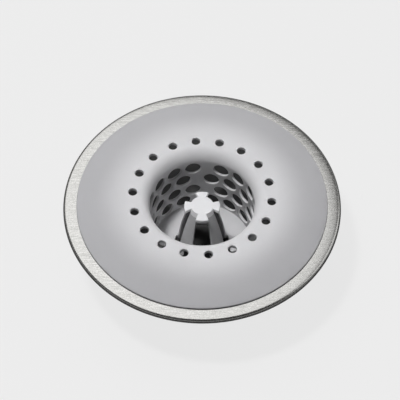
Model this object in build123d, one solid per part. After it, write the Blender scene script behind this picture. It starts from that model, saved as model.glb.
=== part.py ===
from build123d import *
import os
from math import radians, tan

# Sink strainer: a soft perforated basket under a domed flange, held by a pressed steel rim.
# Millimetres, +Z up. The origin is the centre of the plane on which the rim sits round the drain.

# Steel rim: a flat web that runs into the silicone, and a band with its outer edge turned down
rim_radius = 57.15
rim_band_width = 5.22
rim_grip = 2.3
rim_sheet = 0.6
rim_height = 1.9
rim_fall = 0.3
rim_roll_radius = 1.0
rim_edge_round = 0.15

# Silicone flange: an outer lip over the web, a bead under it, a dome and a flat crown
flange_skin = 1.8
flange_rise = 4.62
crown_radius = 37.0
edge_lip_height = 0.75
edge_lip_round = 0.6
bead_reach = 1.2
bead_width = 2.0
bead_clearance = 0.35
bead_round = 0.5
groove_gap = 0.1
knee_run_share = 0.57
knee_fall_share = 0.37
dome_bend_share = 0.3
dome_knee_share = 0.75

# Ring of drain holes in the crown
crown_hole_setback = 6.86
crown_hole_radius = 1.85
crown_hole_count = 18
crown_hole_first_angle = 15.3

# Mouth and basket wall
mouth_radius = 21.7
mouth_round = 4.2
mouth_land = 0.3
wall_skin = 1.1
wall_taper = 0.3
basket_depth = 28.9
basket_corner_round = 2.0
foot_width = 1.3
foot_drop = 0.4

# Staggered rows of wall holes, in three groups with a plain strip between them
wall_hole_radius = 3.1
wall_hole_rows = 4
wall_hole_groups = 3
wall_holes_per_group = 5
wall_hole_step = 22.1
wall_hole_group_angle = 30.0
first_row_depth = 2.7
row_pitch = 7.2
row_pitch_growth = 0.42

# Basket floor, a running clearance inside the wall's turned-in foot
floor_skin = 1.6
floor_clearance = 0.3
window_foot_reach = 0.8

# Centre cone: four bowed pillars under a cap with four tabs
cone_base_radius = 11.2
cone_wall = 1.4
cone_bulge = 1.0
window_half_angle = 25.5
window_count = 4
cap_radius = 4.62
cap_reach = 7.48
cap_height = 0.4
cap_fall = 0.6
cap_skin = 1.6
cap_tip_round = 0.3
tab_half_angle = 21.8

# How far a cutting tool runs past the wall that it cuts
overrun = 1.0

# Radii and levels that follow from the sizes above
rim_edge_height = rim_height - rim_fall
rim_lip_radius = rim_radius - rim_sheet
silicone_radius = rim_radius - rim_band_width
rim_inner_radius = silicone_radius - rim_grip
web_radius = silicone_radius + bead_reach
web_underside = rim_height - rim_sheet
crown_height = rim_height + flange_rise
crown_underside = crown_height - flange_skin
crown_hole_circle_radius = mouth_radius + crown_hole_setback
edge_height = rim_height + edge_lip_height
wall_top = crown_height - mouth_round - mouth_land
wall_foot_radius = mouth_radius - wall_taper
floor_underside = -basket_depth - floor_skin
foot_level = floor_underside - foot_drop
foot_inner_radius = wall_foot_radius - foot_width
floor_radius = foot_inner_radius - floor_clearance
cone_bore_radius = cone_base_radius - cone_wall
window_foot_radius = cone_base_radius + window_foot_reach


def section(corners):
    # A closed outline in the XZ plane, from corners of radius, height and rounding
    points = [(across, up) for across, up, rounding in corners]
    roundings = [rounding for across, up, rounding in corners]
    return Plane.XZ * make_face(FilletPolyline(*points, radius=roundings, close=True))


def turned(corners):
    # The solid that a section makes when it is turned about the axis
    return revolve(section(corners), Axis.Z)


def corner_radius(before, corner, after, share):
    # The arc that takes a share of the shorter side of a shallow corner
    side_in = Vector(*corner) - Vector(*before)
    side_out = Vector(*after) - Vector(*corner)
    half_turn = radians(side_in.get_angle(side_out)) / 2
    return share * min(side_in.length, side_out.length) / tan(half_turn)


def wedge(half_angle, reach, bottom, top):
    # A prism with its point on the axis, opening along +X
    half_width = reach * tan(radians(half_angle))
    outline = Polygon((0, 0), (reach, -half_width), (reach, half_width), align=None)
    return Pos(0, 0, bottom) * extrude(outline, amount=top - bottom)


def around(shape, count, first_angle=0.0):
    # Copies of a shape, evenly spaced about the axis
    return [Rot(0, 0, first_angle + 360 * i / count) * shape for i in range(count)]


def steel_rim():
    return turned([
        (rim_inner_radius, rim_height, 0),
        (web_radius, rim_height, 0),
        (rim_radius, rim_edge_height, rim_roll_radius),
        (rim_radius, 0, rim_edge_round),
        (rim_lip_radius, 0, rim_edge_round),
        (rim_lip_radius, rim_edge_height - rim_sheet, rim_roll_radius - rim_sheet),
        (web_radius, web_underside, 0),
        (rim_inner_radius, web_underside, 0),
    ])


def silicone_flange():
    dome_width = silicone_radius - crown_radius
    dome_fall = crown_height - edge_height
    knee_radius = crown_radius + knee_run_share * dome_width
    knee_height = crown_height - knee_fall_share * dome_fall
    groove_end = rim_inner_radius - groove_gap
    bead_inner = rim_inner_radius - bead_width
    slope = (knee_height - edge_height) / (silicone_radius - knee_radius)
    bead_root = knee_height - flange_skin - slope * (bead_inner - knee_radius)

    mouth = (mouth_radius, crown_height)
    crown_end = (crown_radius, crown_height)
    knee = (knee_radius, knee_height)
    edge = (silicone_radius, edge_height)
    bend_radius = corner_radius(mouth, crown_end, knee, dome_bend_share)
    knee_bend = corner_radius(crown_end, knee, edge, dome_knee_share)
    body = turned([
        (mouth_radius, wall_top, 0),
        (*mouth, mouth_round),
        (*crown_end, bend_radius),
        (*knee, knee_bend),
        (*edge, edge_lip_round),
        (silicone_radius, rim_height, 0),
        (groove_end, rim_height, 0),
        (groove_end, web_underside, 0),
        (web_radius, web_underside, 0),
        (web_radius, bead_clearance, bead_round),
        (bead_inner, bead_clearance, bead_round),
        (bead_inner, bead_root, 0),
        (knee_radius, knee_height - flange_skin, 0),
        (crown_radius, crown_underside, bend_radius),
        (mouth_radius + wall_skin, crown_underside, mouth_round - flange_skin),
        (mouth_radius + wall_skin, wall_top, 0),
    ])
    drill_length = flange_skin + 2 * overrun
    drill = Pos(crown_hole_circle_radius, 0, crown_height - flange_skin / 2) * Cylinder(
        crown_hole_radius, drill_length
    )
    return body - around(drill, crown_hole_count, crown_hole_first_angle)


def wall_drills():
    # One radial drill per hole: odd and even rows are shifted apart by half a step
    drills = []
    depth = first_row_depth
    drill_length = wall_skin + wall_taper + 2 * overrun
    drill = Pos(mouth_radius + wall_skin / 2, 0, 0) * Rot(0, 90, 0) * Cylinder(
        wall_hole_radius, drill_length
    )
    for row in range(wall_hole_rows):
        shift = wall_hole_step / 4 if row % 2 else -wall_hole_step / 4
        for group in range(wall_hole_groups):
            middle = wall_hole_group_angle + shift + 360 * group / wall_hole_groups
            for place in range(wall_holes_per_group):
                angle = middle + wall_hole_step * (place - (wall_holes_per_group - 1) / 2)
                drills.append(Rot(0, 0, angle) * Pos(0, 0, -depth) * drill)
        depth += row_pitch + row * row_pitch_growth
    return drills


def basket_wall():
    body = turned([
        (mouth_radius, wall_top, 0),
        (mouth_radius + wall_skin, wall_top, 0),
        (wall_foot_radius + wall_skin, foot_level, basket_corner_round),
        (foot_inner_radius, foot_level, 0),
        (foot_inner_radius, -basket_depth, 0),
        (wall_foot_radius, -basket_depth, 0),
    ])
    return body - wall_drills()


def basket_floor():
    # A flat ring that carries the cone, notched where each window runs down through it
    disc = Pos(0, 0, floor_underside) * extrude(Circle(floor_radius), amount=floor_skin)
    low = floor_underside - overrun
    high = -basket_depth + overrun
    bore = Pos(0, 0, low) * extrude(Circle(cone_bore_radius), amount=high - low)
    reach = Pos(0, 0, low) * extrude(Circle(window_foot_radius), amount=high - low)
    notch = wedge(window_half_angle, 2 * window_foot_radius, low, high) & reach
    return disc - bore - around(notch, window_count)


def cone_arc(inset):
    # The bowed line of a pillar's face, from the floor up to the cap
    foot = Vector(cone_base_radius - inset, -basket_depth)
    head = Vector(cap_radius - inset, cap_height)
    along = (head - foot).normalized()
    middle = (foot + head) / 2 + Vector(along.Y, -along.X) * cone_bulge
    return ThreePointArc(foot, middle, head)


def centre_cone():
    outer = cone_arc(0)
    inner = cone_arc(cone_wall)
    outline = [outer, inner, Line(outer @ 0, inner @ 0), Line(outer @ 1, inner @ 1)]
    shell = revolve(Plane.XZ * make_face(outline), Axis.Z)
    window = wedge(
        window_half_angle, 2 * cone_base_radius, -basket_depth - overrun, cap_height + overrun
    )
    pillars = shell - around(window, window_count)

    tip_height = cap_height - cap_fall
    plate = turned([
        (0, cap_height, 0),
        (cap_radius, cap_height, 0),
        (cap_reach, tip_height, cap_tip_round),
        (cap_reach, tip_height - cap_skin, cap_tip_round),
        (cap_radius, cap_height - cap_skin, 0),
        (0, cap_height - cap_skin, 0),
    ])
    low = tip_height - cap_skin - overrun
    high = cap_height + overrun
    middle = Pos(0, 0, low) * extrude(Circle(cap_radius), amount=high - low)
    tab = wedge(tab_half_angle, 2 * cap_reach, low, high)
    cross = middle + around(tab, window_count)
    return pillars + (plate & cross)


nodes = {
    "steel_rim": steel_rim,
    "silicone_flange": silicone_flange,
    "basket_wall": basket_wall,
    "basket_floor": basket_floor,
    "centre_cone": centre_cone,
}

os.makedirs("parts", exist_ok=True)
for name, make in nodes.items():
    export_step(make(), f"parts/{name}.step")
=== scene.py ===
import math

import bmesh
import bpy
from mathutils import Matrix, Vector


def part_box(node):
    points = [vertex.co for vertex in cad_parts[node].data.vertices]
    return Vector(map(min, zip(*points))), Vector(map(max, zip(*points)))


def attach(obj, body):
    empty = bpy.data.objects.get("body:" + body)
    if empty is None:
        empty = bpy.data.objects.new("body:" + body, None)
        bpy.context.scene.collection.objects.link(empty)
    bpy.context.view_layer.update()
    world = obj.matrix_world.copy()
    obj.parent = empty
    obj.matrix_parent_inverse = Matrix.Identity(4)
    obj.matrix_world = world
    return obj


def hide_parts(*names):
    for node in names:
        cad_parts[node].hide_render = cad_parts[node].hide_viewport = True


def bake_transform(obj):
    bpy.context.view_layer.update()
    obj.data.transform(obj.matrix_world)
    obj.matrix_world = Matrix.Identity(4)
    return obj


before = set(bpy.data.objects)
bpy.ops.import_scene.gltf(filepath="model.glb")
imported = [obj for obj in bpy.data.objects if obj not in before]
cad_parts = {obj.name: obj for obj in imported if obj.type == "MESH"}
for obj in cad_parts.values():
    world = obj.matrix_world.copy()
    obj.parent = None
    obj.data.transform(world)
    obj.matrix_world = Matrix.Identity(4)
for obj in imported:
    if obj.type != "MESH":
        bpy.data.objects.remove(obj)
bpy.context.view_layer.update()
mm = 0.001

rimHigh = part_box("steel_rim")[1]
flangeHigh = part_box("silicone_flange")[1]
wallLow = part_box("basket_wall")[0]
floorLow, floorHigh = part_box("basket_floor")
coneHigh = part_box("centre_cone")[1]
print("frame: rim radius", round(rimHigh.x, 5), "foot level", round(wallLow.z, 5))


# Camera, at the photograph's viewing angle

cameraView = {
    "elevation": 54.657,       # degrees above the horizon
    "roll": 0.142,             # degrees
    "distance": 850 * mm,      # from the target
    "targetDrop": 0.3 * mm,    # the target's depth below the top of the rim
    "sideways": -0.875 * mm,
    "upwards": 1.470 * mm,
    "lens": 185.94,
    "sensor": 36,
    "clipStart": 0.05,
    "clipEnd": 20,
}


def makeCamera(view):
    tilt = math.radians(view["elevation"])
    roll = math.radians(view["roll"])
    back = Vector((0, -math.cos(tilt), math.sin(tilt)))
    right = Vector((1, 0, 0))
    up = back.cross(right)
    target = Vector((0, 0, rimHigh.z - view["targetDrop"]))
    place = target + back * view["distance"] + right * view["sideways"] + up * view["upwards"]
    turnedRight = math.cos(roll) * right + math.sin(roll) * up
    turnedUp = back.cross(turnedRight)
    camera = bpy.data.objects.new("camera", bpy.data.cameras.new("camera"))
    camera.data.sensor_width = view["sensor"]
    camera.data.lens = view["lens"]
    camera.data.clip_start = view["clipStart"]
    camera.data.clip_end = view["clipEnd"]
    camera.matrix_world = Matrix.Translation(place) @ Matrix(
        (turnedRight, turnedUp, back)).transposed().to_4x4()
    bpy.context.scene.collection.objects.link(camera)
    bpy.context.scene.camera = camera


makeCamera(cameraView)
print("camera ready")


# Shader maths: a wrapped socket turns Python expressions into nodes

class Signal:
    def __init__(self, tree, socket):
        self.tree = tree
        self.socket = socket

    def maths(self, operation, first, second):
        return node(self.tree, "ShaderNodeMath", {"operation": operation}, {0: first, 1: second})

    def __add__(self, other):
        return self.maths("ADD", self, other)

    def __sub__(self, other):
        return self.maths("SUBTRACT", self, other)

    def __rsub__(self, other):
        return self.maths("SUBTRACT", other, self)

    def __mul__(self, other):
        return self.maths("MULTIPLY", self, other)

    def __rmul__(self, other):
        return self.maths("MULTIPLY", other, self)

    def __truediv__(self, other):
        return self.maths("DIVIDE", self, other)

    def __lt__(self, other):
        return self.maths("LESS_THAN", self, other)

    def __gt__(self, other):
        return self.maths("GREATER_THAN", self, other)


def node(tree, kind, settings=None, inputs=None, output=0):
    made = tree.nodes.new(kind)
    for name, value in (settings or {}).items():
        setattr(made, name, value)
    for name, value in (inputs or {}).items():
        if isinstance(value, Signal):
            tree.links.new(value.socket, made.inputs[name])
        else:
            made.inputs[name].default_value = value
    return Signal(tree, made.outputs[output])


def newMaterial(name, fixed):
    material = bpy.data.materials.new(name)
    material.use_nodes = True
    shader = material.node_tree.nodes["Principled BSDF"]
    for socket, value in fixed.items():
        shader.inputs[socket].default_value = value
    return material, material.node_tree, shader


def feed(tree, shader, links):
    for name, signal in links.items():
        tree.links.new(signal.socket, shader.inputs[name])


def objectPlace(tree):
    return node(tree, "ShaderNodeTexCoord", output=3)


def alongAxis(tree, place, axis):
    return node(tree, "ShaderNodeVectorMath", {"operation": "DOT_PRODUCT"},
                {0: place, 1: axis}, output=1)


def stretched(tree, place, sizes):
    # the place measured in a size of its own for each direction, for grain that runs one way
    return node(tree, "ShaderNodeVectorMath", {"operation": "MULTIPLY"},
                {0: place, 1: tuple(1 / size for size in sizes)})


def softStep(tree, value, start, end):
    # 0 at the start and 1 at the end, whichever of the two lies higher
    return node(tree, "ShaderNodeMapRange", {"interpolation_type": "SMOOTHSTEP"},
                {0: value, 1: start, 2: end})


def grain(tree, vector, size, detail, roughness=0.5):
    return node(tree, "ShaderNodeTexNoise", {},
                {"Vector": vector, "Scale": 1 / size, "Detail": detail, "Roughness": roughness})


def bumpFrom(tree, height, depth):
    return node(tree, "ShaderNodeBump", {}, {"Strength": 1.0, "Distance": depth, "Height": height})


def blendColour(tree, factor, first, second):
    return node(tree, "ShaderNodeMix", {"data_type": "RGBA"},
                {0: factor, 6: first, 7: second}, output=2)


def shadeBy(tree, colour, tone):
    return node(tree, "ShaderNodeMix", {"data_type": "RGBA", "blend_type": "MULTIPLY"},
                {0: 1.0, 6: colour, 7: tone}, output=2)


noiseMiddle = 0.5    # the middle of a noise texture's values


# Silicone: satin light grey, painted paler round the mouth as painted light, faintly cloudy with a
# fine moulded grain

siliconeLook = {
    "inner": (0.622, 0.620, 0.633, 1),     # the crown round the mouth, painted paler: painted light
    "outer": (0.440, 0.438, 0.453, 1),     # the dome, painted darker: painted shade on its slope
    "innerRadius": 28 * mm,
    "outerRadius": 45 * mm,
    "cap": (0.74, 0.741, 0.755, 1),        # the top of the cone, painted paler: painted light
    "capRadius": 9 * mm,
    "capLow": -2.6 * mm,
    "capHigh": -1.7 * mm,
    "tabSideLight": (0.98, 0.98, 0.98, 1),      # the sides of the tabs, painted near white: painted light
    "tabSlope": -0.21,
    "tabEdge": 1.05 * mm,
    "tabStart": 5.8 * mm,
    "tabEnd": 7.25 * mm,
    "seam": (0.12, 0.12, 0.123, 1),        # painted shade: the thin dark line where the lip meets the steel
    "seamRadius": 51.25 * mm,
    "seamLow": 2.15 * mm,
    "seamHigh": 2.55 * mm,
    "wallShade": (0.30, 0.30, 0.305, 1),   # the wall's inner face, shaded towards +X
    "wallInner": 21.0 * mm,
    "wallOuter": 21.76 * mm,
    "wallTaper": 0.0097,
    "shadeFrom": -12 * mm,
    "shadeTo": 20 * mm,
    "shadeStart": 2.3 * mm,
    "shadeFull": -0.5 * mm,
    "underShade": (0.10, 0.10, 0.10, 1),   # the top of the wall's outer face, under the crown
    "underInner": 22.72 * mm,
    "underOuter": 26 * mm,
    "underTop": 3.0 * mm,
    "underFull": -3.5 * mm,
    "underEnd": -8.0 * mm,
    "pillar": (0.495, 0.495, 0.505, 1),    # the faces of the pillars, painted darker: painted shade
    "pillarRadius": 12 * mm,
    "inside": (0.16, 0.16, 0.165, 1),      # the shaded inside of the cone
    "insideFoot": 10.75 * mm,
    "insideHead": 4.2 * mm,
    "insideBulge": 1.0 * mm,
    "insideEdge": 0.25 * mm,
    "insideTop": -1.9 * mm,
    "toneSpread": 0.10,
    "cloudSize": 14 * mm,
    "cloudDetail": 3,
    "cloudShare": 0.6,
    "grainSize": 0.35 * mm,
    "grainDetail": 2,
    "grainDepth": 0.008 * mm,
    "roughness": 0.58,
    "roughnessSpread": 0.12,
    "refraction": 1.41,
    "glowWeight": 0.7,
    "glowReach": (1.0, 1.0, 1.0),
    "glowDepth": 0.7 * mm,
    "sheen": 0.05,
    "sheenRoughness": 0.4,
}


def siliconeColour(tree, look, place):
    flat = node(tree, "ShaderNodeVectorMath", {"operation": "MULTIPLY"}, {0: place, 1: (1, 1, 0)})
    radius = node(tree, "ShaderNodeVectorMath", {"operation": "LENGTH"}, {0: flat}, output=1)
    height = alongAxis(tree, place, (0, 0, 1))

    # painted light: the crown paler and the dome darker
    outward = softStep(tree, radius, look["innerRadius"], look["outerRadius"])
    colour = blendColour(tree, outward, look["inner"], look["outer"])

    # painted light on the cap and on the sides of its tabs
    cap = softStep(tree, height, look["capLow"], look["capHigh"])
    colour = blendColour(tree, cap * (radius < look["capRadius"]), colour, look["cap"])
    tabFace = height < radius * look["tabSlope"] + look["tabEdge"]
    tabSideLight = tabFace * (radius > look["tabStart"]) * (radius < look["tabEnd"])
    colour = blendColour(tree, cap * tabSideLight, colour, look["tabSideLight"])

    # painted shade along the lip's edge beside the steel
    seam = softStep(tree, height, look["seamHigh"], look["seamLow"])
    colour = blendColour(tree, seam * (radius > look["seamRadius"]), colour, look["seam"])

    # the inner face of the wall
    side = alongAxis(tree, place, (1, 0, 0))
    across = node(tree, "ShaderNodeMapRange", {},
                  {0: side, 1: look["shadeFrom"], 2: look["shadeTo"]})
    deep = softStep(tree, height, look["shadeStart"], look["shadeFull"])
    withinWall = radius < height * look["wallTaper"] + look["wallOuter"]
    innerFace = withinWall * (radius > look["wallInner"])
    colour = blendColour(tree, across * deep * innerFace, colour, look["wallShade"])

    # the top of its outer face
    beneath = softStep(tree, height, look["underEnd"], look["underFull"])
    beyondWall = radius > height * look["wallTaper"] + look["underInner"]
    outerFace = beyondWall * (radius < look["underOuter"]) * (height < look["underTop"])
    colour = blendColour(tree, beneath * outerFace, colour, look["underShade"])

    # painted shade on the faces of the pillars, and on what lies behind their bowed line
    rise = (height - floorHigh.z) / (coneHigh.z - floorHigh.z)
    bow = rise * (1.0 - rise) * (4 * look["insideBulge"])
    line = rise * (look["insideHead"] - look["insideFoot"]) + look["insideFoot"] + bow
    behind = softStep(tree, line - radius, 0.0, look["insideEdge"])
    lower = height < look["insideTop"]
    colour = blendColour(tree, lower * (radius < look["pillarRadius"]), colour, look["pillar"])
    return blendColour(tree, lower * behind, colour, look["inside"])


def siliconeMaterial(look):
    material, tree, shader = newMaterial("grey_silicone", {
        "IOR": look["refraction"],
        "Subsurface Weight": look["glowWeight"],
        "Subsurface Radius": look["glowReach"],
        "Subsurface Scale": look["glowDepth"],
        "Sheen Weight": look["sheen"],
        "Sheen Roughness": look["sheenRoughness"],
    })
    place = objectPlace(tree)
    colour = siliconeColour(tree, look, place)
    cloud = grain(tree, place, look["cloudSize"], look["cloudDetail"])
    speck = grain(tree, place, look["grainSize"], look["grainDetail"])
    mixed = look["cloudShare"] * cloud + (1 - look["cloudShare"]) * speck
    tone = (mixed - noiseMiddle) * look["toneSpread"] + 1.0
    feed(tree, shader, {
        "Base Color": shadeBy(tree, colour, tone),
        "Roughness": (speck - noiseMiddle) * look["roughnessSpread"] + look["roughness"],
        "Normal": bumpFrom(tree, speck, look["grainDepth"]),
    })
    return material


# Steel: satin sheet brushed straight across, a little warm, with fine streaks and specks

steelLook = {
    "dark": (0.44, 0.436, 0.420, 1),
    "light": (0.82, 0.815, 0.795, 1),
    "contrast": 2.8,
    "roughness": 0.25,
    "roughnessSpread": 0.16,
    "streak": (5 * mm, 0.22 * mm, 0.22 * mm),
    "streakDetail": 3,
    "streakRoughness": 0.6,
    "streakShare": 0.6,
    "streakDepth": 0.007 * mm,
    "speckSize": 0.34 * mm,
    "speckDetail": 2,
}


def steelMaterial(look):
    material, tree, shader = newMaterial("brushed_steel", {"Metallic": 1.0})
    place = objectPlace(tree)
    streak = grain(tree, stretched(tree, place, look["streak"]), 1.0,
                   look["streakDetail"], look["streakRoughness"])
    speck = grain(tree, place, look["speckSize"], look["speckDetail"])
    tone = look["streakShare"] * streak + (1 - look["streakShare"]) * speck
    strong = (tone - noiseMiddle) * look["contrast"] + noiseMiddle
    feed(tree, shader, {
        "Base Color": blendColour(tree, strong, look["dark"], look["light"]),
        "Roughness": (streak - noiseMiddle) * look["roughnessSpread"] + look["roughness"],
        "Normal": bumpFrom(tree, tone, look["streakDepth"]),
    })
    return material


silicone = siliconeMaterial(siliconeLook)
steel = steelMaterial(steelLook)
print("materials ready")


# Mesh helpers

mergeDistance = 0.0005 * mm
levelTolerance = 0.001 * mm
cutTolerance = 1e-8
flatNormal = 0.9        # the least upward or downward part of a flat face's normal
uprightNormal = 0.5     # the most that an upright face's normal has


def finishPiece(name, bm, material, sharpAngle=None):
    bmesh.ops.remove_doubles(bm, verts=bm.verts, dist=mergeDistance)
    bmesh.ops.recalc_face_normals(bm, faces=bm.faces)
    openEdges = sum(not edge.is_manifold for edge in bm.edges)
    mesh = bpy.data.meshes.new(name)
    for face in bm.faces:
        face.smooth = True
    bm.to_mesh(mesh)
    bm.free()
    if sharpAngle:
        mesh.set_sharp_from_angle(angle=math.radians(sharpAngle))
    piece = bpy.data.objects.new(name, mesh)
    bpy.context.scene.collection.objects.link(piece)
    mesh.materials.append(material)
    print("piece", name, "faces", len(mesh.polygons), "edges not closed", openEdges)
    return piece


def roundedLine(corners, closed=False):
    # corners are radius, height, rounding and steps; each rounded corner becomes an arc
    points = []
    count = len(corners)
    for i, (across, up, rounding, steps) in enumerate(corners):
        here = Vector((across, 0, up))
        if not rounding or (not closed and i in (0, count - 1)):
            points.append(here)
            continue
        before = Vector((corners[i - 1][0], 0, corners[i - 1][1]))
        after = Vector((corners[(i + 1) % count][0], 0, corners[(i + 1) % count][1]))
        inward = (before - here).normalized()
        onward = (after - here).normalized()
        half = inward.angle(onward) / 2
        centre = here + (inward + onward).normalized() * (rounding / math.sin(half))
        start = here + inward * (rounding / math.tan(half)) - centre
        end = here + onward * (rounding / math.tan(half)) - centre
        for step in range(steps + 1):
            points.append(centre + start.slerp(end, step / steps).normalized() * rounding)
    return points


def addLine(bm, points, closed=False):
    verts = [bm.verts.new(p) for p in points]
    edges = [bm.edges.new(pair) for pair in zip(verts, verts[1:])]
    if closed:
        edges.append(bm.edges.new((verts[-1], verts[0])))
    return verts, edges


def addPart(bm, part):
    mesh = bpy.data.meshes.new("part")
    part.to_mesh(mesh)
    part.free()
    bm.from_mesh(mesh)
    bpy.data.meshes.remove(mesh)


def spinRound(bm, points, steps, closed=False, centre=(0, 0, 0), axis=(0, 0, 1)):
    # a full turn in a mesh of its own, which is much quicker, and then added
    ring = bmesh.new()
    verts, edges = addLine(ring, points, closed)
    bmesh.ops.spin(ring, geom=verts + edges, cent=centre, axis=axis,
                   angle=math.tau, steps=steps, use_merge=True)
    addPart(bm, ring)


def repeatRound(bm, count):
    # copies of all that the mesh holds, evenly spaced about the axis
    bmesh.ops.spin(bm, geom=bm.verts[:] + bm.edges[:] + bm.faces[:], cent=(0, 0, 0),
                   axis=(0, 0, 1), angle=math.tau * (1 - 1 / count), steps=count - 1,
                   use_duplicate=True)


# Steel rim: a flat web, a band that falls a little and an edge turned down to the seat

steelRim = {
    "steps": 240,
    "sharpAngle": 40,
    "sheet": 0.6 * mm,
    "fall": 0.22 * mm,
    "bandRound": 70 * mm,
    "bandSteps": 8,
    "rollRadius": 1.3 * mm,
    "rollSteps": 8,
    "underRollSteps": 4,
    "edgeRound": 0.15 * mm,
    "edgeSteps": 3,
    "webRadius": 53.13 * mm,
    "innerRadius": 49.63 * mm,
}


def makeRim(size):
    radius, top = rimHigh.x, rimHigh.z
    edge = top - size["fall"]
    sheet, web, inner = size["sheet"], size["webRadius"], size["innerRadius"]
    outline = roundedLine([
        (inner, top, 0, 0),
        (web, top, size["bandRound"], size["bandSteps"]),
        (radius, edge, size["rollRadius"], size["rollSteps"]),
        (radius, 0, size["edgeRound"], size["edgeSteps"]),
        (radius - sheet, 0, size["edgeRound"], size["edgeSteps"]),
        (radius - sheet, edge - sheet, size["rollRadius"] - sheet, size["underRollSteps"]),
        (web, top - sheet, 0, 0),
        (inner, top - sheet, 0, 0),
    ], closed=True)
    bm = bmesh.new()
    spinRound(bm, outline, size["steps"], closed=True)
    return finishPiece("rim_ring", bm, steel, size["sharpAngle"])


rimPiece = makeRim(steelRim)
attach(rimPiece, "strainer")
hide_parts("steel_rim")


# Flange, mouth and basket wall: one silicone skin

flangeSkin = {
    "steps": 144,
    "sharpAngle": 40,
    "skin": 1.8 * mm,
    "edgeRadius": 51.65 * mm,
    "edgeRise": 0.75 * mm,
    "edgeRound": 0.6 * mm,
    "edgeSteps": 6,
    "crownRadius": 37.0 * mm,
    "bendRound": 34 * mm,
    "bendSteps": 8,
    "underBendSteps": 6,
    "kneeRunShare": 0.57,
    "kneeFallShare": 0.37,
    "kneeRound": 46 * mm,
    "kneeSteps": 8,
    "plateInner": 26.35 * mm,    # the flat part of the crown that holds the drain holes
    "plateOuter": 33.2 * mm,
    "beadBottom": 0.35 * mm,
    "beadRound": 0.5 * mm,
    "beadSteps": 4,
    "beadInner": 47.63 * mm,
    "mouthRadius": 21.7 * mm,
    "mouthRound": 4.5 * mm,
    "mouthFall": 6.0 * mm,
    "mouthSteps": 16,
    "underMouthSteps": 8,
}

crownHoles = {
    "count": 18,
    "firstAngle": 15.3,
    "circleRadius": 28.56 * mm,
    "radius": 1.85 * mm,
    "edgeRound": 0.15 * mm,
    "edgeSteps": 4,
    "segments": 32,
}

basketWall = {
    "skin": 1.1 * mm,
    "taper": 0.3 * mm,
    "cornerRound": 2.0 * mm,
    "cornerArcShare": 0.97,
    "cornerSteps": 8,
    "footWidth": 1.3 * mm,
    "footRound": 0.25 * mm,
    "footSteps": 4,
    "floorRound": 0.1 * mm,
    "floorArcShare": 0.9,
    "floorSteps": 5,
    "levelStep": 1.6 * mm,
}

wallHoles = {
    "depths": (3.15 * mm, 10.6 * mm, 18.15 * mm, 25.25 * mm),
    "groups": 3,
    "perGroup": 5,
    "step": 22.1,
    "groupAngle": 30.0,
    "radius": 3.4 * mm,
    "edgeRound": 0.1 * mm,
    "edgeSteps": 4,
    "segments": 32,
}


def holeTube(bm, hole, centre, axis, across, length):
    # the wall of one hole with both rims rounded, spun about its own axis
    rounding, turns = hole["edgeRound"], hole["edgeSteps"]
    outline = [(hole["radius"] + rounding, 0)]
    for step in range(1, turns + 1):
        a = math.pi / 2 * step / turns
        outline.append((hole["radius"] + rounding * (1 - math.sin(a)),
                        rounding * (1 - math.cos(a))))
    outline += [(r, length - depth) for r, depth in reversed(outline)]
    spinRound(bm, [centre + across * r + axis * depth for r, depth in outline],
              hole["segments"], centre=centre, axis=axis)


def fillBetween(bm, level, coordinate):
    # the flat sheet between the outer ring and the hole rims that lie on one level
    edges = [e for e in bm.edges if not e.is_manifold
             and all(abs(v.co[coordinate] - level) < levelTolerance for v in e.verts)]
    bmesh.ops.triangle_fill(bm, use_beauty=True, edges=edges)


def wallHolePlaces(holes):
    # angle and level of each hole of one group: odd and even rows are shifted by half a step
    for row, depth in enumerate(holes["depths"]):
        shift = holes["step"] / 4 if row % 2 else -holes["step"] / 4
        for place in range(holes["perGroup"]):
            offset = holes["step"] * (place - (holes["perGroup"] - 1) / 2)
            yield holes["groupAngle"] + shift + offset, -depth


def cutAcross(bm, point, normal):
    bmesh.ops.bisect_plane(bm, geom=bm.verts[:] + bm.edges[:] + bm.faces[:],
                           dist=cutTolerance, plane_co=point, plane_no=normal)


def taperedRadius(radius, level, wallTop, taper):
    # the wall narrows evenly from its top down to the floor
    return radius - taper * (wallTop - level) / (wallTop - floorHigh.z)


def rolledWall(size, holes, steps, top, inner):
    # one group of holes is cut out flat, with x round the wall, y through it and z up,
    # and is then rolled and repeated round the wall
    groups = holes["groups"]
    turn = 360 / groups
    seam = holes["groupAngle"] - turn / 2
    width = math.radians(turn) * inner
    innerLow = floorHigh.z + size["floorRound"]
    outerLow = wallLow.z + size["cornerRound"]
    bm = bmesh.new()
    holeTube(bm, holes, Vector(), Vector((0, 1, 0)), Vector((1, 0, 0)), size["skin"])
    for v in bm.verts:
        v.co.x *= inner / (inner + v.co.y)
    tube = bm.verts[:] + bm.edges[:] + bm.faces[:]
    for angle, level in wallHolePlaces(holes):
        copy = bmesh.ops.duplicate(bm, geom=tube)["geom"]
        verts = [part for part in copy if isinstance(part, bmesh.types.BMVert)]
        bmesh.ops.translate(bm, verts=verts, vec=((angle - seam) / turn * width, 0, level))
    bmesh.ops.delete(bm, geom=tube, context="VERTS")
    for depth, low in ((0, innerLow), (size["skin"], outerLow)):
        addLine(bm, [Vector((0, depth, low)), Vector((width, depth, low)),
                     Vector((width, depth, top)), Vector((0, depth, top))], closed=True)
        fillBetween(bm, depth, 1)
    for i in range(1, steps // groups):
        cutAcross(bm, (width * i * groups / steps, 0, 0), (1, 0, 0))
    for i in range(1, int((top - innerLow) / size["levelStep"])):
        cutAcross(bm, (0, 0, top - i * size["levelStep"]), (0, 0, 1))
    for v in bm.verts:
        angle = math.radians(seam) + v.co.x / inner
        radius = taperedRadius(inner + v.co.y, v.co.z, top, size["taper"])
        v.co.x, v.co.y = radius * math.cos(angle), radius * math.sin(angle)
    repeatRound(bm, groups)
    return bm


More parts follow.
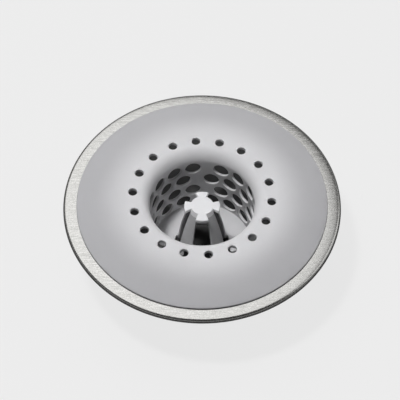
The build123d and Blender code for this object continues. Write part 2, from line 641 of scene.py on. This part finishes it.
def addDome(bm, size):
    # from the crown over the dome and the lip, round the web of the rim and back under the dome
    top, skin = flangeHigh.z, size["skin"]
    under = top - skin
    edge = rimHigh.z + size["edgeRise"]
    edgeRadius, crownRadius = size["edgeRadius"], size["crownRadius"]
    kneeRadius = crownRadius + size["kneeRunShare"] * (edgeRadius - crownRadius)
    kneeHeight = top - size["kneeFallShare"] * (top - edge)
    slope = (kneeHeight - edge) / (edgeRadius - kneeRadius)
    beadRoot = kneeHeight - skin - slope * (size["beadInner"] - kneeRadius)
    web, inner = steelRim["webRadius"], steelRim["innerRadius"]
    webUnder = rimHigh.z - steelRim["sheet"]
    spinRound(bm, roundedLine([
        (size["plateOuter"], top, 0, 0),
        (crownRadius, top, size["bendRound"], size["bendSteps"]),
        (kneeRadius, kneeHeight, size["kneeRound"], size["kneeSteps"]),
        (edgeRadius, edge, size["edgeRound"], size["edgeSteps"]),
        (edgeRadius, rimHigh.z, 0, 0),
        (inner, rimHigh.z, 0, 0),
        (inner, webUnder, 0, 0),
        (web, webUnder, 0, 0),
        (web, size["beadBottom"], size["beadRound"], size["beadSteps"]),
        (size["beadInner"], size["beadBottom"], size["beadRound"], size["beadSteps"]),
        (size["beadInner"], beadRoot, 0, 0),
        (kneeRadius, kneeHeight - skin, 0, 0),
        (crownRadius, under, size["bendRound"], size["underBendSteps"]),
        (size["plateOuter"], under, 0, 0),
    ]), size["steps"])


def addMouth(bm, size, wall, wallTop):
    # the rolled lip, a quarter of an ellipse from the crown into the wall, and its underside
    mouth, top = size["mouthRadius"], flangeHigh.z
    lip = [Vector((size["plateInner"], 0, top))]
    for step in range(size["mouthSteps"] + 1):
        a = math.radians(90 * step / size["mouthSteps"])
        lip.append(Vector((mouth + size["mouthRound"] * (1 - math.sin(a)), 0,
                           top - size["mouthFall"] * (1 - math.cos(a)))))
    spinRound(bm, lip, size["steps"])
    under = top - size["skin"]
    outer = mouth + wall["skin"]
    spinRound(bm, roundedLine([
        (size["plateInner"], under, 0, 0),
        (outer, under, size["mouthRound"] - wall["skin"], size["underMouthSteps"]),
        (outer, wallTop, 0, 0),
    ]), size["steps"])


def addFoot(bm, size, wall, wallTop):
    # the turned-in foot that the floor lies in, from the inner face round to the outer one
    mouth, taper = size["mouthRadius"], wall["taper"]
    foot = mouth - taper
    footInner = foot - wall["footWidth"]
    innerEnd = floorHigh.z + wall["floorRound"]
    outerEnd = wallLow.z + wall["cornerRound"]
    spinRound(bm, roundedLine([
        (taperedRadius(mouth, innerEnd, wallTop, taper), innerEnd, 0, 0),
        (foot, floorHigh.z, wall["floorRound"] * wall["floorArcShare"], wall["floorSteps"]),
        (footInner, floorHigh.z, 0, 0),
        (footInner, wallLow.z, wall["footRound"], wall["footSteps"]),
        (foot + wall["skin"], wallLow.z, wall["cornerRound"] * wall["cornerArcShare"],
         wall["cornerSteps"]),
        (taperedRadius(mouth + wall["skin"], outerEnd, wallTop, taper), outerEnd, 0, 0),
    ]), size["steps"])


def addCrownHoles(bm, size, crown):
    drilled = bmesh.new()
    angle = math.radians(crown["firstAngle"])
    outward = Vector((math.cos(angle), math.sin(angle), 0))
    centre = outward * crown["circleRadius"] + Vector((0, 0, flangeHigh.z))
    holeTube(drilled, crown, centre, Vector((0, 0, -1)), outward, size["skin"])
    repeatRound(drilled, crown["count"])
    addPart(bm, drilled)


def makeFlange(size, crown, wall, holes):
    wallTop = flangeHigh.z - size["mouthFall"]
    bm = rolledWall(wall, holes, size["steps"], wallTop, size["mouthRadius"])
    addDome(bm, size)
    addMouth(bm, size, wall, wallTop)
    addFoot(bm, size, wall, wallTop)
    addCrownHoles(bm, size, crown)
    bmesh.ops.remove_doubles(bm, verts=bm.verts, dist=mergeDistance)
    fillBetween(bm, flangeHigh.z, 2)
    fillBetween(bm, flangeHigh.z - size["skin"], 2)
    return finishPiece("silicone_flange_and_wall", bm, silicone, size["sharpAngle"])


flangePiece = makeFlange(flangeSkin, crownHoles, basketWall, wallHoles)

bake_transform(flangePiece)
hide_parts("silicone_flange", "basket_wall")


# Basket floor with the slotted cone: a ring, four bowed pillars and a cap with four tabs

coneSkin = {
    "tabAngle": 43.6,            # full angles, in degrees
    "pillarAngle": 39.0,
    "sectorSteps": 6,
    "floorRadius": 20.15 * mm,
    "notchRadius": 12.0 * mm,
    "boreRadius": 9.8 * mm,
    "baseRadius": 11.2 * mm,
    "wall": 1.4 * mm,
    "bulge": 1.0 * mm,
    "flare": 0.8 * mm,
    "flareAngles": (30, 55, 90),
    "pillarSteps": 14,
    "capRadius": 4.62 * mm,
    "capInnerShare": 0.5,
    "capReach": 7.48 * mm,
    "capFall": 0.6 * mm,
    "capSkin": 1.6 * mm,
    "capRound": 0.45 * mm,
    "capRoundSteps": 5,
    "capRoundAngle": 50,
    "edgeRound": 0.28 * mm,
    "edgeRoundSteps": 3,
    "edgeRoundAngle": 32,
    "roundProfile": 0.5,
    "slack": 0.01,               # shares of a radius by which faces and edges are told apart
    "wideSlack": 0.05,
    "mergeDistance": 0.002 * mm,
}


def coneSectors(size):
    # turn and steps of each sector, from the first side of the first tab all the way round
    gap = 90 - size["tabAngle"] - size["pillarAngle"]
    steps = size["sectorSteps"]
    return [(size["tabAngle"], steps), (gap / 2, 1), (size["pillarAngle"], steps), (gap / 2, 1)] * 4


def spinSectors(bm, points, size, closed):
    verts, edges = addLine(bm, points, closed)
    bmesh.ops.rotate(bm, verts=verts, cent=(0, 0, 0),
                     matrix=Matrix.Rotation(math.radians(-size["tabAngle"] / 2), 3, "Z"))
    last = verts + edges
    for turn, steps in coneSectors(size):
        made = bmesh.ops.spin(bm, geom=last, cent=(0, 0, 0), axis=(0, 0, 1),
                              angle=math.radians(turn), steps=steps)
        last = made["geom_last"]
    bmesh.ops.remove_doubles(bm, verts=bm.verts, dist=mergeDistance)


def fromTabMiddle(face):
    # the angle from a face's middle to the middle of the nearest tab
    middle = face.calc_center_median()
    offset = (math.degrees(math.atan2(middle.y, middle.x)) + 360) % 90
    return min(offset, 90 - offset)


def inTab(face, size):
    return fromTabMiddle(face) < size["tabAngle"] / 2


def inPillar(face, size):
    return 45 - fromTabMiddle(face) < size["pillarAngle"] / 2


def flatRadius(v):
    return math.hypot(v.co.x, v.co.y)


def setRadius(v, radius):
    k = radius / flatRadius(v)
    v.co.x *= k
    v.co.y *= k


def coneRadius(size, z, inset=0.0):
    # the bowed line of a pillar: a circle through the foot, the head and the bulge between them
    foot = Vector((size["baseRadius"] - inset, floorHigh.z))
    head = Vector((size["capRadius"] - inset, coneHigh.z))
    chord = (head - foot).length
    radius = (chord ** 2 / 4 + size["bulge"] ** 2) / (2 * size["bulge"])
    along = (head - foot).normalized()
    outward = Vector((along.y, -along.x))
    centre = (foot + head) / 2 - outward * (radius - size["bulge"])
    return centre.x + math.sqrt(radius ** 2 - (z - centre.y) ** 2)


def extrudeFaces(bm, faces):
    made = bmesh.ops.extrude_face_region(bm, geom=faces)
    bmesh.ops.delete(bm, geom=[f for f in faces if f.is_valid], context="FACES")
    newFaces = [g for g in made["geom"] if isinstance(g, bmesh.types.BMFace)]
    newVerts = [g for g in made["geom"] if isinstance(g, bmesh.types.BMVert)]
    return newFaces, newVerts


def roundEdges(bm, edges, rounding, steps, profile):
    bmesh.ops.bevel(bm, geom=edges, offset=rounding, segments=steps, profile=profile,
                    affect="EDGES", material=-1, clamp_overlap=True)


def addFloorRing(bm, size):
    # the ring with a ledge inside it under each pillar; the tops of the ledges come back
    low, top = floorLow.z, floorHigh.z
    notch, bore = size["notchRadius"], size["boreRadius"]
    spinSectors(bm, [Vector((size["floorRadius"], 0, top)), Vector((notch, 0, top)),
                     Vector((notch, 0, low)), Vector((size["floorRadius"], 0, low))],
                size, closed=True)
    bmesh.ops.recalc_face_normals(bm, faces=bm.faces)
    sides = [f for f in bm.faces if abs(f.normal.z) < uprightNormal and inPillar(f, size)
             and flatRadius(f.verts[0]) < notch * (1 + size["slack"])]
    verts = extrudeFaces(bm, sides)[1]
    for v in verts:
        setRadius(v, bore)
    bmesh.ops.recalc_face_normals(bm, faces=bm.faces)
    ledgeReach = (notch + bore) / 2 * (1 + size["wideSlack"])
    return [f for f in bm.faces if f.normal.z > flatNormal and inPillar(f, size)
            and Vector(f.calc_center_median()[:2]).length < ledgeReach]


def raisePillars(bm, size, tops):
    # the pillars rise from the ledges with a flared foot and are left open at the top
    flare, wall = size["flare"], size["wall"]
    start = floorHigh.z + flare
    capUnder = coneHigh.z - size["capSkin"]
    levels = []
    for a in map(math.radians, size["flareAngles"]):
        levels.append((floorHigh.z + flare * (1 - math.cos(a)), flare * (1 - math.sin(a))))
    for i in range(size["pillarSteps"]):
        levels.append((start + (capUnder - start) * (i + 1) / size["pillarSteps"], 0.0))
    for level, spread in levels:
        tops, verts = extrudeFaces(bm, tops)
        halfway = sum(flatRadius(v) for v in verts) / len(verts)
        for v in verts:
            if flatRadius(v) > halfway:
                setRadius(v, coneRadius(size, level) + spread)
            else:
                setRadius(v, coneRadius(size, level, wall))
            v.co.z = level
    bmesh.ops.delete(bm, geom=tops, context="FACES")


def makeCap(size):
    # a disc with a tab over each window, open below where the pillars meet it
    bm = bmesh.new()
    top = coneHigh.z
    under = top - size["capSkin"]
    outerUnder = coneRadius(size, under)
    innerUnder = coneRadius(size, under, size["wall"])
    radius, share = size["capRadius"], size["capInnerShare"]
    outline = [(0, top), (radius * share, top), (radius, top), (outerUnder, under),
               (innerUnder, under), (innerUnder * share, under), (0, under)]
    spinSectors(bm, [Vector((across, 0, up)) for across, up in outline], size, closed=False)
    bmesh.ops.recalc_face_normals(bm, faces=bm.faces)
    sides = [f for f in bm.faces if inTab(f, size) and abs(f.normal.z) < flatNormal
             and all(flatRadius(v) > radius * (1 - size["slack"]) for v in f.verts)]
    verts = extrudeFaces(bm, sides)[1]
    for v in verts:
        isTop = v.co.z > (top + under) / 2
        setRadius(v, size["capReach"])
        v.co.z = (top if isTop else under) - size["capFall"]
    bmesh.ops.recalc_face_normals(bm, faces=bm.faces)
    sharpAngle = math.radians(size["capRoundAngle"])
    rims = [e for e in bm.edges if e.is_manifold and e.calc_face_angle() > sharpAngle
            and any(f.normal.z > flatNormal for f in e.link_faces)
            and any(flatRadius(v) > radius * (1 + size["wideSlack"]) for v in e.verts)]
    roundEdges(bm, rims, size["capRound"], size["capRoundSteps"], size["roundProfile"])
    bmesh.ops.recalc_face_normals(bm, faces=bm.faces)
    seats = [f for f in bm.faces if f.normal.z < -flatNormal and inPillar(f, size)
             and all(flatRadius(v) > innerUnder * (1 - size["slack"]) for v in f.verts)]
    bmesh.ops.delete(bm, geom=seats, context="FACES")
    return bm


def makeCone(size):
    bm = bmesh.new()
    raisePillars(bm, size, addFloorRing(bm, size))
    addPart(bm, makeCap(size))
    bmesh.ops.remove_doubles(bm, verts=bm.verts, dist=size["mergeDistance"])
    bmesh.ops.recalc_face_normals(bm, faces=bm.faces)
    sharpAngle = math.radians(size["edgeRoundAngle"])
    sharp = [e for e in bm.edges if e.is_manifold and e.calc_face_angle() > sharpAngle]
    roundEdges(bm, sharp, size["edgeRound"], size["edgeRoundSteps"], size["roundProfile"])
    piece = finishPiece("silicone_floor_and_cone", bm, silicone)
    piece.modifiers.new("weighted", "WEIGHTED_NORMAL")
    return piece


conePiece = makeCone(coneSkin)
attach(conePiece, "basket_base")
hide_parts("basket_floor", "centre_cone")


# Stage: a pale floor under the foot, and soft studio light

stageLook = {
    "half": 2.0,
    "colour": (0.07, 0.07, 0.07, 1),
    "shade": (0.11, 0.11, 0.11, 1),       # under the part, in place of the drain
    "shadePlace": (0, 16 * mm),
    "shadeInner": 42 * mm,
    "shadeOuter": 55 * mm,
    "dark": (0.03, 0.03, 0.03, 1),        # painted shade, darkest below the cone
    "darkInner": 10 * mm,
    "darkOuter": 14 * mm,
    "glow": (0.77, 0.77, 0.77, 1),        # seen by the camera alone
    "glowRise": 0.02 * mm,
    "worldColour": (0.04, 0.04, 0.04, 1),
    "lowLight": (0.80, 0.80, 0.80, 1),    # a low band of light all round
    "lowBand": (0.06, 0.14, 0.24, 0.35),  # heights of a direction of length 1
    "mirrorLight": (0.26, 0.26, 0.26, 1),
    "mirrorBand": (0.06, 0.14, 0.44, 0.54),
    "backdropColour": (0.82, 0.82, 0.82, 1),
}

lamps = {
    "key": {"place": (-0.26, -0.075, 1.10), "size": 0.14, "power": 8.9, "mirrored": False},
    "back": {"place": (-0.330, 0.508, 1.139), "size": 1.32, "power": 5.15, "mirrored": True},
    "fill": {"place": (0.75, 0.30, 0.80), "size": 0.9, "power": 1.5, "mirrored": True},
}


def stageSheet(name, look, level, material):
    bm = bmesh.new()
    bmesh.ops.create_grid(bm, x_segments=1, y_segments=1, size=look["half"])
    bmesh.ops.translate(bm, verts=bm.verts, vec=(0, 0, level))
    mesh = bpy.data.meshes.new(name)
    bm.to_mesh(mesh)
    bm.free()
    sheet = bpy.data.objects.new(name, mesh)
    bpy.context.scene.collection.objects.link(sheet)
    mesh.materials.append(material)
    return sheet


def awayFrom(tree, centre, inner, outer):
    # 0 within the inner radius on the floor, 1 beyond the outer one
    middle = (centre[0], centre[1], wallLow.z)
    distance = node(tree, "ShaderNodeVectorMath", {"operation": "DISTANCE"},
                    {0: objectPlace(tree), 1: middle}, output=1)
    return softStep(tree, distance, inner, outer)


def makeFloor(look):
    # shade lies under the part and is darkest below the cone, as in a drain
    shade = (look["shadePlace"], look["shadeInner"], look["shadeOuter"])
    material, tree, shader = newMaterial("stage_floor", {"Specular IOR Level": 0.0})
    under = blendColour(tree, awayFrom(tree, (0, 0), look["darkInner"], look["darkOuter"]),
                        look["dark"], look["shade"])
    colour = blendColour(tree, awayFrom(tree, *shade), under, look["colour"])
    feed(tree, shader, {"Base Color": colour})
    stageSheet("stage_floor", look, wallLow.z, material)


def makeGlow(look):
    # a faint glow over the floor, seen by the camera alone, keeps its shadows light
    shade = (look["shadePlace"], look["shadeInner"], look["shadeOuter"])
    material = bpy.data.materials.new("stage_glow")
    material.use_nodes = True
    tree = material.node_tree
    tree.nodes.clear()
    colour = blendColour(tree, awayFrom(tree, *shade), (0, 0, 0, 1), look["glow"])
    emission = node(tree, "ShaderNodeEmission", {}, {"Color": colour})
    clear = node(tree, "ShaderNodeBsdfTransparent")
    both = node(tree, "ShaderNodeAddShader", {}, {0: emission, 1: clear})
    output = tree.nodes.new("ShaderNodeOutputMaterial")
    tree.links.new(both.socket, output.inputs["Surface"])
    sheet = stageSheet("stage_glow", look, wallLow.z + look["glowRise"], material)
    sheet.visible_diffuse = False
    sheet.visible_glossy = False
    sheet.visible_transmission = False
    sheet.visible_shadow = False


def skyBand(tree, rise, band, dark, light):
    # light between the two middle heights of the band, fading out at both ends
    start = softStep(tree, rise, band[0], band[1])
    end = softStep(tree, rise, band[2], band[3])
    return blendColour(tree, start * (1.0 - end), dark, light)


def makeWorld(look):
    world = bpy.data.worlds.new("studio")
    world.use_nodes = True
    background = world.node_tree.nodes["Background"]
    tree = world.node_tree
    direction = node(tree, "ShaderNodeTexCoord", output=0)
    rise = alongAxis(tree, direction, (0, 0, 1))
    seen = node(tree, "ShaderNodeLightPath", output="Is Camera Ray")
    mirrored = node(tree, "ShaderNodeLightPath", output="Is Glossy Ray")
    low = skyBand(tree, rise, look["lowBand"], look["worldColour"], look["lowLight"])
    mirror = skyBand(tree, rise, look["mirrorBand"], look["worldColour"], look["mirrorLight"])
    light = blendColour(tree, mirrored, low, mirror)
    feed(tree, background, {"Color": blendColour(tree, seen, light, look["backdropColour"])})
    bpy.context.scene.world = world


def makeLamps(lampList):
    for name, lamp in lampList.items():
        data = bpy.data.lights.new(name, "AREA")
        data.shape = "DISK"
        data.size = lamp["size"]
        data.energy = lamp["power"]
        light = bpy.data.objects.new(name, data)
        light.location = lamp["place"]
        light.visible_glossy = lamp["mirrored"]
        light.rotation_mode = "QUATERNION"
        light.rotation_quaternion = Vector(lamp["place"]).to_track_quat("Z", "Y")
        bpy.context.scene.collection.objects.link(light)


makeFloor(stageLook)
makeGlow(stageLook)
makeWorld(stageLook)
makeLamps(lamps)
bpy.context.scene.view_settings.view_transform = "Standard"
print("stage ready")
